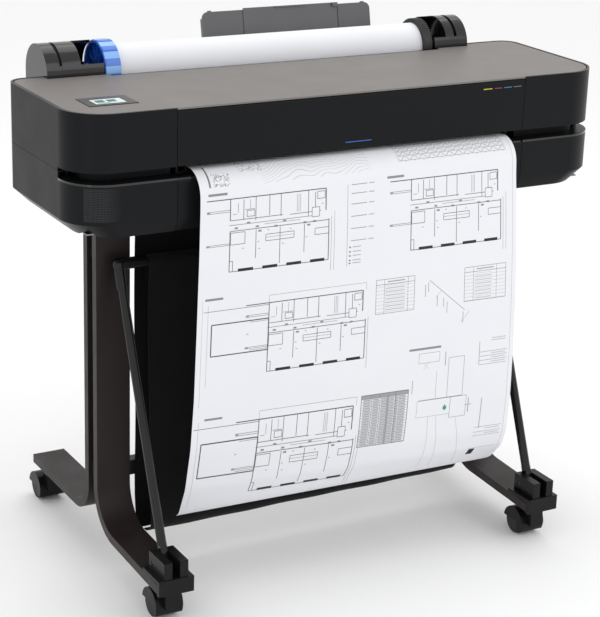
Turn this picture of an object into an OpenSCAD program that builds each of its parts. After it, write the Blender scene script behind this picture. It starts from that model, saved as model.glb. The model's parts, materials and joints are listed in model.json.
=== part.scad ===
// Large format roll plotter on a wheeled stand with a media basket.
// Front is -Y, right is +X, up is +Z, the floor is z = 0.

/* [Housing] */
// Overall width of the housing
body_w = 1013; // [1000:1:1040]
// Front face of the housing, measured from the stand's middle
front_y = -210; // [-212:1:-209]
// Rear face of the side covers
side_rear_y = 88; // [86:1:92]
// Top of the deck above the floor
deck_z = 857; // [856:1:858]
// Underside of the upper covers at the front
upper_z = 762; // [761:1:763]
// Top edge of the lower covers at the front
lower_z = 745; // [744:1:746]
// Where the lower covers start to slope inwards
slope_z = 678; // [674:1:682]
// Underside of the housing
under_z = 655; // [655:1:655]
// Plan radius of the front corners
corner_r = 70; // [60:1:75]
// Wall thickness of the covers
wall = 3; // [2.5:0.5:3.5]
// Half the width between the two front seams
seam_x = 333.5; // [332:0.5:335]

/* [Media] */
// Width of the roll and of the printed sheet
media_w = 610; // [600:1:610]
// Radius of the paper wound on the roll
roll_r = 40; // [30:1:42]
// Radius of the hub flanges
hub_r = 48; // [46:1:49]
// Distance of the roll axis behind the stand's middle
roll_y = 118; // [117:1:119]
// Height of the roll axis
roll_z = 856; // [855:1:857]

/* [Stand] */
// Distance from the middle to each leg's centre line
leg_x = 371.5; // [371:0.5:372]
// Width of a leg
leg_w = 62; // [60:1:64]
// Thickness of a leg tube
leg_t = 16; // [15:1:16]
// Bend radius inside the front leg
front_bend = 69; // [66:1:72]
// Bend radius inside the rear leg
rear_bend = 45; // [42:1:48]
// Caster wheel diameter
wheel_d = 48; // [46:1:48]

/* [Basket] */
// Height of the basket's front bar
bar_z = 564; // [560:1:568]
// Distance of the front bar ahead of the stand's middle
bar_y = -67; // [-69:1:-65]
// Width of the fabric
fabric_w = 640; // [620:1:644]

/* [Hidden] */

$fn = 48;
half_w = body_w / 2;
lip = 0.3;                      // gap kept between separate covers
rear_r = 30;                    // plan radius of the rear corners
side_seam_z = 756;              // seam between upper and lower covers along the sides
step_y = -138;                  // where that seam steps down into the front slot
lower_front_y = front_y - 3;    // the lower covers stand a little further out
rim_w = 4;                      // rim of the covers around the deck
deck_t = 4;
bay_front_y = 54;               // front edge of the roll bay
bay_x = 330;                    // half the length of the roll bay
rear_left = 425;                // reach of the rear housing to the left and to the right
rear_right = 398;
notch_left = 440;               // reach of the notch for the left support
rear_y = 182;
foot_z = 800;                   // underside of the roll supports
port_x = 322;                   // left side of the mains socket
tray_r = 58;                    // inner radius of the roll tray
slot_half = 310;                // half the length of the paper slot in the roll tray
ledge_w = 28;                   // depth of the ledge under the paper slot
shaft_r = 6;
fit = 0.05;                     // radial running clearance
support_r = 50;
left_in = 337;                  // left support: cradle end, ring and outer face
left_ring = 378;
left_out = 440;
right_in = 326;                 // right support
right_ring = 352;
right_out = 398;

door_axis_y = front_y + 4;
door_axis_z = deck_z - 7.4;
door_bottom = upper_z + 0.5;

paper_z = 754.5;                // height of the sheet through the print zone
paper_t = 0.4;
feed_y = 14;
feed_r = 12;
feed_z = paper_z - 0.35 - feed_r;
pinch_r = 6;
pinch_z = paper_z + paper_t + 0.35 + pinch_r;
frame_x = 345;

carriage_x = 412;               // parked over the service station
rod_y = -58;
rod_z = 812;
rod_r = 6;
pulley_r = 9;
pulley_z = 785;
pulley_x = 466;
belt_y = -18.5;
belt_w = 5;

wheel_r = wheel_d / 2;
front_caster = [leg_x, -274];
rear_caster = [leg_x, 248.5];
trail = 26;                     // wheel axle behind the swivel axis
hood_z = 55;

pivot_y = -254;
pivot_z = 100;
pin_r = 4;
foot_end_y = -302.5;
foot_slope = 2.4;
rear_foot_y = 264;
rod_lean = atan2(bar_y - pivot_y, bar_z - pivot_z);
rod_len = norm([bar_y - pivot_y, bar_z - pivot_z]);
fold_r = 27;                    // radius of the fabric's bottom fold

tray_lean = 12;                 // the sheet tray leans back by this angle
tray_y = rear_y + 4;
tray_z = deck_z - 19;
ink_x = 245;                    // left side of the first ink cartridge
ink_pitch = 20.6;

// ---------- shared shapes ----------

// Plan outline with large front corners and small rear corners
module plan(x, yf, yb, rf, rb) {
    translate([-(x - rf), yf]) square([2 * (x - rf), rf + 1]);
    translate([-x, yf + rf]) square([2 * x, yb - yf - rf - rb]);
    translate([-(x - rb), yb - rb - 1]) square([2 * (x - rb), rb + 1]);
    for (s = [-1, 1]) {
        translate([s * (x - rf), yf + rf]) circle(rf, $fn = 96);
        translate([s * (x - rb), yb - rb]) circle(rb);
    }
}

module plan_slab(x, yf, yb, rf, rb, z0, z1) {
    translate([0, 0, z0]) linear_extrude(z1 - z0) plan(x, yf, yb, rf, rb);
}

module block(lo, hi) {
    translate(lo) cube(hi - lo);
}

module rod_x(x0, x1, y, z, r) {
    translate([x0, y, z]) rotate([0, 90, 0]) cylinder(h = x1 - x0, r = r);
}

module ring_x(x0, x1, y, z, r0, r1) {
    difference() {
        rod_x(x0, x1, y, z, r1);
        rod_x(x0 - 1, x1 + 1, y, z, r0);
    }
}

// A profile drawn in the Y-Z plane, extruded along X
module along_x(x0, x1) {
    translate([x0, 0, 0]) rotate([90, 0, 90]) linear_extrude(x1 - x0) children();
}

// Ribbon of even thickness through a list of Y-Z points
module ribbon(pts, t) {
    n = len(pts);
    side = [for (i = [0:n - 1])
        let (a = pts[max(i - 1, 0)], b = pts[min(i + 1, n - 1)], d = b - a)
        pts[i] + t * [-d[1], d[0]] / norm(d)];
    polygon(concat(pts, [for (i = [n - 1:-1:0]) side[i]]));
}

function arc(c, r, a0, a1, n) =
    [for (i = [0:n]) let (a = a0 + (a1 - a0) * i / n) c + r * [cos(a), sin(a)]];

// ---------- chassis ----------

module base_pan() {
    color("dimgray") difference() {
        union() {
            block([-478, -186, under_z + 4], [478, 60, under_z + 6]);
            block([-418, 59, under_z + 4], [391, 178, under_z + 6]);
            block([-440, -182, under_z + 4], [440, -180, 700]);
            block([-418, 176, under_z + 4], [391, 178, 672]);
            for (s = [-1, 1]) {
                block([s * leg_x - 34, -80, under_z], [s * leg_x + 34, 46, under_z + 4.1]);
            }
        }
        for (s = [-1, 1], y = [-61, 27]) {
            translate([s * leg_x, y, under_z - 1]) cylinder(h = 10, r = 4.2);
        }
    }
}

module side_frame(x) {
    difference() {
        union() {
            block([x - 1, -150, under_z + 6], [x + 1, 50, 752]);
            block([x - 1, -2, 751], [x + 1, 30, 772]);
        }
        translate([x - 3, feed_y, feed_z]) rotate([0, 90, 0]) cylinder(h = 6, r = shaft_r + fit);
        translate([x - 3, feed_y, pinch_z]) rotate([0, 90, 0]) cylinder(h = 6, r = 3 + fit);
    }
}

module side_frames() {
    color("silver") {
        side_frame(-frame_x);
        side_frame(frame_x);
        for (s = [-1, 1]) {
            block([s * 480 - 2, -110, under_z + 6], [s * 480 + 2, 6.8, 846]);
        }
    }
}

module guide_beam() {
    color("lightgray") difference() {
        union() {
            block([-478, -12, 790], [478, 6, 842]);
            for (s = [-1, 1]) {
                block([s * pulley_x - 12, -12, 772], [s * pulley_x + 12, -8, 791]);
            }
        }
        block([-479, -8, 794], [479, 7, 838]);
        for (s = [-1, 1]) {
            translate([s * pulley_x, -20, pulley_z]) rotate([-90, 0, 0])
                cylinder(h = 20, r = 2.5 + fit);
        }
    }
}

module guide_rod() {
    color("silver") rod_x(-478, 478, rod_y, rod_z, rod_r);
}

// ---------- covers ----------

module upper_shell() {
    difference() {
        plan_slab(half_w, front_y, side_rear_y, corner_r, rear_r, side_seam_z + lip, deck_z);
        plan_slab(half_w - wall, front_y + wall, side_rear_y - wall, corner_r - wall, rear_r - wall,
            side_seam_z - 1, deck_z - deck_t - 2);
        plan_slab(half_w - rim_w, front_y + rim_w, side_rear_y - rim_w, corner_r - rim_w,
            rear_r - rim_w, deck_z - deck_t - 1, deck_z + 1);
        plan_slab(half_w - 9, front_y + 9, side_rear_y - 9, corner_r - 9, rear_r - 9,
            side_seam_z, deck_z + 1);
        // the front stops higher, above the paper slot
        block([-half_w - 1, front_y - 5, side_seam_z - 2], [half_w + 1, step_y, upper_z]);
        // the rear is open between the side covers, for the roll housing
        block([-rear_left - lip, 40, side_seam_z - 2], [rear_right + lip, 100, deck_z + 2]);
        block([-notch_left - lip, 40, foot_z - lip], [-rear_left, 100, deck_z + 2]);
    }
}

module upper_cover(s) {
    color("#2d2e30") intersection() {
        upper_shell();
        block([s > 0 ? seam_x : -half_w - 1, -300, 700], [s > 0 ? half_w + 1 : -seam_x, 300, 900]);
    }
}

module lower_solid(inset, z0) {
    hull() {
        plan_slab(half_w - inset, lower_front_y + inset, side_rear_y - inset, corner_r - inset,
            rear_r - inset, slope_z, slope_z + 1, $fn = 40);
        plan_slab(half_w - inset - 24, lower_front_y + inset + 9, side_rear_y - inset - 8,
            corner_r - inset, rear_r - inset, z0, z0 + 0.5, $fn = 40);
    }
    plan_slab(half_w - inset, lower_front_y + inset, side_rear_y - inset, corner_r - inset,
        rear_r - inset, slope_z + 0.5, side_seam_z - inset);
}

module lower_shell() {
    difference() {
        lower_solid(0, under_z);
        lower_solid(wall, under_z + wall);
        // open on top behind the lip of the slot
        block([-half_w + 24, lower_front_y + 24, lower_z - 5], [half_w - 24, 100, side_seam_z + 1]);
        // the front edge of the slot
        block([-half_w - 1, lower_front_y - 5, lower_z], [half_w + 1, step_y, side_seam_z + 1]);
        // rear opening and floor opening
        block([-rear_left - lip, 40, under_z - 1], [rear_right + lip, 100, side_seam_z + 2]);
        block([-479, -187, under_z - 1], [479, 61, under_z + 7]);
    }
}

// Ledge and back wall that close the paper slot around the corner
module slot_ledge() {
    difference() {
        plan_slab(half_w - 1, lower_front_y + 1, side_rear_y, corner_r - 1, rear_r,
            lower_z - wall, upper_z + 6);
        plan_slab(half_w - ledge_w - 2, lower_front_y + ledge_w + 2, side_rear_y + 40,
            corner_r - ledge_w - 2, rear_r, lower_z - wall - 1, upper_z + 7);
        difference() {
            plan_slab(half_w + 1, lower_front_y - 1, side_rear_y + 1, corner_r + 1, rear_r,
                lower_z, upper_z + 7);
            plan_slab(half_w - ledge_w, lower_front_y + ledge_w, side_rear_y + 50,
                corner_r - ledge_w, rear_r, lower_z - 1, upper_z + 8);
        }
        block([-half_w - 1, step_y + 8, lower_z - 10], [half_w + 1, 200, upper_z + 9]);
    }
}

module lower_cover(s) {
    color("#2d2e30") intersection() {
        union() {
            lower_shell();
            slot_ledge();
        }
        block([s > 0 ? seam_x : -half_w - 1, -300, 600], [s > 0 ? half_w + 1 : -seam_x, 300, 900]);
    }
}

module lower_front_panel() {
    x = seam_x - 0.8;
    r = 9;
    color("#2d2e30") along_x(-x, x) difference() {
        union() {
            polygon([[lower_front_y, slope_z], [lower_front_y + 9, under_z + 1], [-186, under_z + 1],
                [-186, under_z + 3], [lower_front_y + 12, under_z + 3], [lower_front_y + 3, slope_z + 1],
                [lower_front_y + 3, lower_z - r], [lower_front_y, lower_z - r]]);
            translate([lower_front_y + r, lower_z - r]) circle(r);
            translate([lower_front_y + r, lower_z - wall]) square([-186 - lower_front_y - r, wall]);
        }
        translate([lower_front_y + r, lower_z - r]) circle(r - wall);
        translate([lower_front_y + wall, lower_z - 2 * r - 1]) square([40, r + 1]);
        translate([lower_front_y + r, lower_z - 2 * r]) square([40, 2 * r - wall]);
    }
}

module top_deck() {
    g = 2;
    color("#918c89") difference() {
        union() {
            plan_slab(half_w - rim_w - g, front_y + rim_w + g, side_rear_y - rim_w - g,
                corner_r - rim_w - g, rear_r - rim_w - g, deck_z - deck_t, deck_z - 0.6);
            // front rim above the door
            block([-seam_x + 0.6, front_y + 0.3, deck_z - 3], [seam_x - 0.6, front_y + 7, deck_z]);
        }
        // opening for the roll bay
        block([-bay_x, bay_front_y, deck_z - 20], [bay_x, 120, deck_z + 5]);
        block([-notch_left - lip, 66, deck_z - 20], [rear_right + lip, 120, deck_z + 5]);
        // seat for the control panel
        block([-457.4, -152.4, deck_z - 2.6], [-372.6, -93.6, deck_z + 5]);
        // hinge groove above the door
        rod_x(-seam_x, seam_x, door_axis_y, door_axis_z, 4.4);
    }
}

module front_door() {
    x = seam_x - 0.7;
    color("#2d2e30") difference() {
        union() {
            rod_x(-x, x, door_axis_y, door_axis_z, 4);
            block([-x, front_y, door_bottom], [x, front_y + 3, door_axis_z]);
            block([-x, front_y, door_bottom], [x, front_y + 8, door_bottom + 3]);
        }
        // recess of the light bar
        block([-26, front_y - 1, 771], [26, front_y + 0.6, 775]);
    }
}

module rear_cover() {
    w = 3;
    color("#2d2e30") difference() {
        block([-rear_left, 66.3, under_z + 7], [rear_right, rear_y, deck_z - 1]);
        block([-rear_left + w, 60, under_z + 6], [rear_right - w, rear_y - w, deck_z + 1]);
        // notches for the feet of the roll supports
        block([-rear_left - 1, roll_y - support_r - lip, foot_z - lip],
            [-rear_left + w + 1, roll_y + support_r + lip, deck_z + 1]);
        block([rear_right - w - 1, roll_y - support_r - lip, foot_z - lip],
            [rear_right + 1, roll_y + support_r + lip, deck_z + 1]);
        // socket and port cut-outs in the rear wall
        block([port_x, rear_y - 10, 690], [port_x + 30, rear_y + 5, 716]);
        block([port_x + 34, rear_y - 10, 692], [port_x + 52, rear_y + 5, 714]);
        block([-412, rear_y - 10, 675], [-358, rear_y + 5, 696]);
        for (i = [0:11]) {
            block([-120 + 20 * i, rear_y - 10, 700], [-110 + 20 * i, rear_y + 5, 740]);
        }
    }
}

// ---------- roll bay ----------

module roll_tray() {
    color("#232426") difference() {
        along_x(-bay_x + 0.5, bay_x - 6) difference() {
            union() {
                translate([roll_y, roll_z]) circle(tray_r + 2, $fn = 96);
                translate([bay_front_y + 1, roll_z - 6]) square([8, 6]);
            }
            translate([roll_y, roll_z]) circle(tray_r, $fn = 96);
            translate([0, roll_z]) square([300, 200]);
        }
        // slot that lets the paper down to the feed roller
        block([-slot_half, roll_y - tray_r - 6, roll_z - 26],
            [slot_half, roll_y - tray_r + 8, roll_z - 14]);
    }
}

// An arched support: outer cap, slot ring, inner ring and a cut-away cradle.
// in, ring and out are the distances of the cradle's end, the ring and the outer face from the middle.
module roll_support(s, in, ring, out) {
    cap = out - 22;
    lip_z = roll_z + 19;
    color("#1b1c1e") mirror([s > 0 ? 0 : 1, 0, 0]) difference() {
        union() {
            rod_x(cap, out, roll_y, roll_z, support_r);
            rod_x(cap - 7, cap + 1, roll_y, roll_z, support_r - 5);
            rod_x(in, cap - 6, roll_y, roll_z, support_r);
            block([in, roll_y - support_r, foot_z], [out, roll_y + support_r, roll_z]);
            // the slot ends above the deck
            intersection() {
                rod_x(cap - 7, cap + 1, roll_y, roll_z, support_r - 0.4);
                block([in, 0, foot_z], [out, 300, lip_z]);
            }
        }
        // cradle: hollow, open to the top and the front, and towards the roll
        rod_x(in - 1, ring, roll_y, roll_z, support_r - 4);
        block([in - 1, roll_y - support_r - 1, lip_z], [ring, roll_y + 14, roll_z + 60]);
        // journal of the spindle
        rod_x(ring - 1, ring + 18, roll_y, roll_z, shaft_r + fit);
    }
}

module spindle_shaft() {
    color("#26272a") rod_x(-(left_ring + 16), right_ring + 16, roll_y, roll_z, shaft_r);
}

module blue_hub() {
    color("#2e6fd6") {
        difference() {
            union() {
                rod_x(-334.5, -305.2, roll_y, roll_z, hub_r);
                rod_x(-306.5, -270, roll_y, roll_z, 24);
            }
            rod_x(-335, -312, roll_y, roll_z, hub_r - 4);
            rod_x(-340, -260, roll_y, roll_z, shaft_r + fit);
        }
        for (i = [0:11]) {
            translate([-330, roll_y, roll_z]) rotate([i * 30, 0, 0])
                translate([0, -1.5, 14]) cube([18.5, 3, hub_r - 17]);
        }
        ring_x(-330, -311.5, roll_y, roll_z, shaft_r + fit, 14.5);
    }
}

module black_hub() {
    n = 60;
    color("#151617") difference() {
        union() {
            rod_x(305.2, 322, roll_y, roll_z, hub_r - 1);
            rod_x(270, 306.5, roll_y, roll_z, 24);
            for (i = [0:n - 1]) {
                translate([305.2, roll_y, roll_z]) rotate([i * 360 / n, 0, 0])
                    translate([0, -1, hub_r - 2]) cube([16.8, 2, 2]);
            }
        }
        rod_x(316, 330, roll_y, roll_z, hub_r - 8);
        rod_x(260, 340, roll_y, roll_z, shaft_r + fit);
    }
}

module paper_roll() {
    color("white") ring_x(-media_w / 2, media_w / 2, roll_y, roll_z, 24.02, roll_r);
}

// ---------- sheet tray behind the roll ----------

module on_tray() {
    translate([0, tray_y, tray_z]) rotate([-tray_lean, 0, 0]) children();
}

module sheet_tray() {
    color("#6f7072") on_tray() difference() {
        union() {
            block([-89, 0, 0], [262, 3, 74]);
            block([-77, 0, 70], [250, 3, 90]);
            for (x = [-77, 250]) {
                translate([x, 0, 76]) rotate([-90, 0, 0]) cylinder(h = 3, r = 12);
            }
            block([-89, 0, 0], [-86, 9, 76]);
            block([259, 0, 0], [262, 9, 76]);
            block([-60, -3, 0], [-30, 1, 8]);
            block([200, -3, 0], [230, 1, 8]);
        }
        block([-70, -20, 88], [243, 20, 95]);
        block([-8, -1, 38], [193, 1.4, 95]);
    }
    color("#6f7072") for (x = [-60, 200]) {
        block([x, rear_y, deck_z - 18], [x + 30, rear_y + 5, deck_z - 10]);
    }
}

module tray_extension() {
    color("#3a3b3d") on_tray() {
        block([-6, 0, 40], [191, 1.1, 91]);
        block([180, -4.4, 84], [191, 0.1, 91]);
        block([60, -2.4, 88], [125, 0.1, 91]);
    }
}

// ---------- control panel ----------

module panel_bezel() {
    color("#34353a") difference() {
        block([-457, -152, deck_z - 2.4], [-373, -94, deck_z + 0.4]);
        block([-441.3, -141.3, deck_z - 1], [-388.7, -109.7, deck_z + 1]);
    }
}

module touchscreen() {
    color("#cfe3da") block([-441, -141, deck_z - 1], [-389, -110, deck_z + 0.2]);
}

// ---------- paper path and print engine ----------

module platen() {
    color("#3b3c3e") {
        block([-322, -184, 741], [322, -4, 746]);
        for (i = [0:40]) {
            block([-320 + 16 * i - 1.5, -180, 745.5], [-320 + 16 * i + 1.5, -8, paper_z - 0.9]);
        }
    }
}

module feed_roller() {
    color("#5c5d60") {
        rod_x(-350, 372, feed_y, feed_z, shaft_r);
        for (i = [0:7]) {
            rod_x(-308 + 78 * i, -238 + 78 * i, feed_y, feed_z, feed_r);
        }
    }
}

module pinch_rollers() {
    color("#77787a") {
        rod_x(-350, 346.5, feed_y, pinch_z, 3);
        for (i = [0:7]) {
            rod_x(-288 + 78 * i, -258 + 78 * i, feed_y, pinch_z, pinch_r);
        }
    }
}

module feed_motor() {
    color("#2b2b2e") difference() {
        union() {
            rod_x(347, 349, feed_y, feed_z, 24);
            rod_x(348, 384, feed_y, feed_z, 18);
        }
        rod_x(340, 376, feed_y, feed_z, shaft_r + fit);
    }
}

module carriage() {
    x = carriage_x;
    color("#3d3e42") difference() {
        union() {
            block([x - 48, -96, 768], [x + 48, -21, 838]);
            block([x - 40, -86, 759], [x + 40, -32, 769]);
            block([x - 56, -92, 766], [x - 47, -80, 800]);
            block([x - 12, -21.5, 792], [x + 12, -19.6, 806]);
        }
        rod_x(x - 60, x + 60, rod_y, rod_z, rod_r + fit);
        for (i = [0:3]) {
            block([x - 42 + 21.5 * i, -90, 826], [x - 23 + 21.5 * i, -68, 850]);
        }
    }
    // rotary cutter on the carriage's left side
    color("silver") translate([x - 58, -86, 768]) rotate([0, 90, 0]) cylinder(h = 2, r = 8);
}

module drive_belt() {
    r = pulley_r + 0.3;
    color("#202020") difference() {
        union() {
            block([-pulley_x, belt_y, pulley_z - r - 1.4],
                [pulley_x, belt_y + belt_w, pulley_z + r + 1.4]);
            for (s = [-1, 1]) {
                translate([s * pulley_x, belt_y, pulley_z]) rotate([-90, 0, 0])
                    cylinder(h = belt_w, r = r + 1.4);
            }
        }
        block([-pulley_x, belt_y - 1, pulley_z - r],
            [pulley_x, belt_y + belt_w + 1, pulley_z + r]);
        for (s = [-1, 1]) {
            translate([s * pulley_x, belt_y - 1, pulley_z]) rotate([-90, 0, 0])
                cylinder(h = belt_w + 2, r = r);
        }
    }
}

module pulley(x, shaft_end) {
    color("silver") {
        translate([x, belt_y, pulley_z]) rotate([-90, 0, 0]) cylinder(h = belt_w, r = pulley_r);
        translate([x, belt_y - 5, pulley_z]) rotate([-90, 0, 0])
            cylinder(h = shaft_end - belt_y + 5, r = 2.5);
        for (y = [belt_y - 1.2, belt_y + belt_w + 0.2]) {
            translate([x, y, pulley_z]) rotate([-90, 0, 0]) cylinder(h = 1, r = pulley_r - 1);
        }
    }
}

module idler_pulley() {
    pulley(-pulley_x, -4);
}

module motor_pulley() {
    pulley(pulley_x, 24);
}

module carriage_motor() {
    color("#2b2b2e") difference() {
        union() {
            translate([pulley_x, 8.4, pulley_z]) rotate([-90, 0, 0]) cylinder(h = 36, r = 17);
            block([pulley_x - 21, 7, pulley_z - 21], [pulley_x + 21, 9, pulley_z + 21]);
        }
        translate([pulley_x, 0, pulley_z]) rotate([-90, 0, 0]) cylinder(h = 30, r = 2.5 + fit);
    }
}

module service_station() {
    color("#4a4b4e") difference() {
        block([366, -100, under_z + 6], [458, -22, 750]);
        block([372, -92, 730], [452, -30, 760]);
    }
    color("#8a8b8e") for (i = [0:3]) {
        block([376 + 19 * i, -84, 729.9], [391 + 19 * i, -38, 756]);
    }
}

module ink_bay() {
    color("#3a3b3e") difference() {
        block([ink_x - 4, -200, 768], [ink_x + 4 * ink_pitch + 2.4, -103, 844]);
        for (i = [0:3]) {
            block([ink_x - 0.4 + ink_pitch * i, -201, 771.6],
                [ink_x + 19.4 + ink_pitch * i, -105.6, 840.4]);
        }
    }
}

module ink_cartridges() {
    for (i = [0:3]) {
        color(["gold", "magenta", "deepskyblue", "#222222"][i])
            block([ink_x + ink_pitch * i, -204, 772], [ink_x + 19 + ink_pitch * i, -106, 840]);
    }
}

module main_board() {
    color("#1f5a3a") {
        block([-418, -140, 676], [-348, 174, 677.6]);
        for (x = [-413, -353], y = [-130, 50, 160]) {
            translate([x, y, under_z + 6]) cylinder(h = 676 - under_z - 5.9, r = 3);
        }
    }
    color("#333333") {
        block([-412, -60, 677.5], [-382, -25, 681]);
        block([-374, -90, 677.5], [-352, -50, 688]);
    }
    color("silver") difference() {
        union() {
            block([-406, 150, 677.5], [-390, rear_y + 0.5, 693.5]);
            block([-380, 150, 677.5], [-364, rear_y + 0.5, 693.5]);
        }
        for (x = [-398, -372]) {
            block([x - 6, 170, 679.5], [x + 6, rear_y + 1, 691.5]);
        }
    }
}

module power_supply() {
    color("#9a9b9d") block([352, 4, under_z + 6], [470, 58, 698]);
}

module power_inlet() {
    color("#151515") difference() {
        block([port_x + 0.3, 160, 690.3], [port_x + 29.7, rear_y + 1.5, 715.7]);
        block([port_x + 3.5, 166, 694], [port_x + 26.5, rear_y + 3, 712]);
    }
    color("silver") for (x = [port_x + 9, port_x + 15, port_x + 21]) {
        block([x - 1, 165, 702], [x + 1, 178, 706]);
    }
}

module power_switch() {
    color("#101010") {
        along_x(port_x + 37, port_x + 49)
            polygon([[rear_y + 0.5, 694.5], [rear_y + 3.5, 711.5], [rear_y - 6, 711.5],
            [rear_y - 6, 694.5]]);
        rod_x(port_x + 35, port_x + 51, rear_y - 6, 703, 1.5);
    }
}

// ---------- stand ----------

// Bent tube outline in the Y-Z plane: an upright, a bend and a foot. r is the inside bend radius,
// dir is the way the foot points, and slope is how far the foot turns down from level.
module bent(y_face, z_foot, r, t, dir, y_end, slope, z_top) {
    c = [0, 0];
    run = abs(y_end - y_face) - r;
    last = 270 - slope;
    foot_top = arc(c, r, last, last, 1)[0];
    foot_low = arc(c, r + t, last, last, 1)[0];
    translate([y_face + dir * r, z_foot + r]) mirror([dir > 0 ? 0 : 1, 0])
        polygon(concat(
            [[-r, z_top - z_foot - r]],
            arc(c, r, 180, last, 20),
            [[run, foot_top[1] - (run - foot_top[0]) * tan(slope)],
                [run, foot_low[1] - (run - foot_low[0]) * tan(slope)]],
            arc(c, r + t, last, 180, 20),
            [[-r - t, z_top - z_foot - r]]));
}

module leg(s, dir) {
    y_face = dir > 0 ? 10.8 : -44;
    z_foot = dir > 0 ? 95 : 86;
    r = dir > 0 ? rear_bend : front_bend;
    y_end = dir > 0 ? rear_foot_y : foot_end_y + 9;
    slope = dir > 0 ? 0 : foot_slope;
    x = s * leg_x;
    hole = dir > 0 ? rear_caster : front_caster;
    color("#262120") difference() {
        along_x(x - leg_w / 2, x + leg_w / 2) bent(y_face, z_foot, r, leg_t, dir, y_end, slope, under_z);
        along_x(x - leg_w / 2 + 2, x + leg_w / 2 - 2)
            bent(y_face - dir * 2, z_foot - 2, r + 2, leg_t - 4, dir, y_end - dir * 2, slope, under_z + 1);
        translate([x, hole[1], 30]) cylinder(h = dir > 0 ? 62 : 47, r = 5 + fit);
    }
    color("#262120") difference() {
        y0 = dir > 0 ? 10.7 : -78;
        block([x - leg_w / 2, y0, under_z - 4], [x + leg_w / 2, y0 + (dir > 0 ? 33 : 34.1), under_z]);
        translate([x, dir > 0 ? 27 : -61, 600]) cylinder(h = 80, r = 4.2);
    }
}

module cross_bar() {
    color("#1d1a19") {
        block([-leg_x - 24, -28, 157], [leg_x + 24, 10.8 - leg_t, 185]);
        for (s = [-1, 1]) {
            block([s * leg_x - 24, -28, 560], [s * leg_x + 24, 10.8 - leg_t, 600]);
        }
    }
}

module foot_bracket(s) {
    x = s * leg_x;
    difference() {
        union() {
            block([x - 32, foot_end_y, 60], [x + 32, foot_end_y + 8.8, 86]);
            block([x - 32, foot_end_y, 81], [x + 32, foot_end_y + 66, 88]);
            block([x - 22, foot_end_y + 2, 87], [x - 7, foot_end_y + 62, 118]);
            block([x + 7, foot_end_y + 2, 87], [x + 22, foot_end_y + 62, 118]);
        }
        rod_x(x - 30, x + 30, pivot_y, pivot_z, pin_r + fit);
    }
}

module foot_brackets() {
    color("#211d1c") {
        foot_bracket(-1);
        foot_bracket(1);
    }
}

// ---------- casters ----------

function caster_at(sx, rear) =
    let (p = rear ? rear_caster : front_caster) [sx * p[0], p[1]];

module caster_hood(sx, rear) {
    p = caster_at(sx, rear);
    top = rear ? 79 : 63.9;
    color("#17181a") translate([p[0], p[1], 0]) difference() {
        union() {
            // hood over the wheels, with a web between them
            intersection() {
                rod_x(-25, 25, trail, wheel_r, wheel_r + 4);
                union() {
                    block([-25, -16, wheel_r + 3], [25, trail + 40, 90]);
                    block([-25, -16, 9], [25, trail - 12, 40]);
                }
            }
            rod_x(-3, 3, trail, wheel_r, wheel_r - 3);
            block([-13, -14, 26], [13, 12, hood_z]);
            block([-3, 0, 14], [3, trail, hood_z - 8]);
            translate([0, 0, 30]) cylinder(h = top - 20, r = 5);
            translate([0, 0, 30]) cylinder(h = top - 31.6, r = 10);
        }
        // room for the wheels under the hood
        for (s = [-1, 1]) {
            rod_x(s > 0 ? 3.5 : -23, s > 0 ? 23 : -3.5, trail, wheel_r, wheel_r + 1.2);
        }
        rod_x(-30, 30, trail, wheel_r, 3 + fit);
    }
}

module caster_wheels(sx, rear) {
    p = caster_at(sx, rear);
    color("#1d1e20") translate([p[0], p[1], 0]) {
        for (s = [-1, 1]) {
            rod_x(s > 0 ? 4 : -22, s > 0 ? 22 : -4, trail, wheel_r, wheel_r);
        }
        rod_x(-22, 22, trail, wheel_r, 3);
    }
}

// ---------- basket ----------

module basket_rod(s) {
    x = s * leg_x;
    color("#0f1011") {
        translate([x, pivot_y, pivot_z]) rotate([-rod_lean, 0, 0]) {
            translate([0, 0, 26]) cylinder(h = rod_len - 26, r = 8);
            translate([-6, -6, -4]) cube([12, 12, 34]);
        }
        rod_x(x - 21, x + 21, pivot_y, pivot_z, pin_r);
        translate([x, bar_y, bar_z]) sphere(11);
        translate([x, bar_y, bar_z]) rotate([180 - rod_lean, 0, 0]) cylinder(h = 42, r = 10);
        rod_x(s > 0 ? x - 50 : x, s > 0 ? x : x + 50, bar_y, bar_z, 10);
    }
}

module basket_bar() {
    color("#141414") rod_x(-leg_x + 50, leg_x - 50, bar_y, bar_z, 7);
}

module basket_front_fabric() {
    color("#17181a") along_x(-fabric_w / 2, fabric_w / 2) {
        difference() {
            translate([bar_y, bar_z]) circle(8.6);
            translate([bar_y, bar_z]) circle(7.1);
        }
        ribbon(concat([[bar_y - 8.8, bar_z - 1], [bar_y - 9.2, 480], [bar_y - 11, 320], [bar_y - 16, 200],
            [-92, 130]], arc([-66, 92], fold_r, 170, 285, 8)), 1.5);
    }
}

module basket_rear_fabric() {
    color("#17181a") along_x(-fabric_w / 2, fabric_w / 2)
        ribbon([[-31, 652], [-31, 400], [-31, 160], [-33, 120], [-37, 90], [-44, 70], [-52, 64.5]], 1.5);
}

// ---------- printed sheet ----------

module printed_sheet() {
    r = 42;
    color("white") along_x(-media_w / 2, media_w / 2)
        ribbon(concat([[103, 817], [59, 836], [50, 832], [42, 800], [36, 772], [30, 760], [22, paper_z]],
            arc([-196, paper_z - r], r, 90, 176, 12),
            [[-240, 640], [-244, 500], [-243, 360], [-237, 260], [-222, 190], [-196, 146],
                [-150, 118]]), -paper_t);
}

module screws() {
    color("silver") for (s = [-1, 1], y = [-61, 27]) {
        translate([s * leg_x, y, under_z - 7]) {
            cylinder(h = 3, r = 7);
            cylinder(h = 12.8, r = 4);
        }
    }
}

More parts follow.
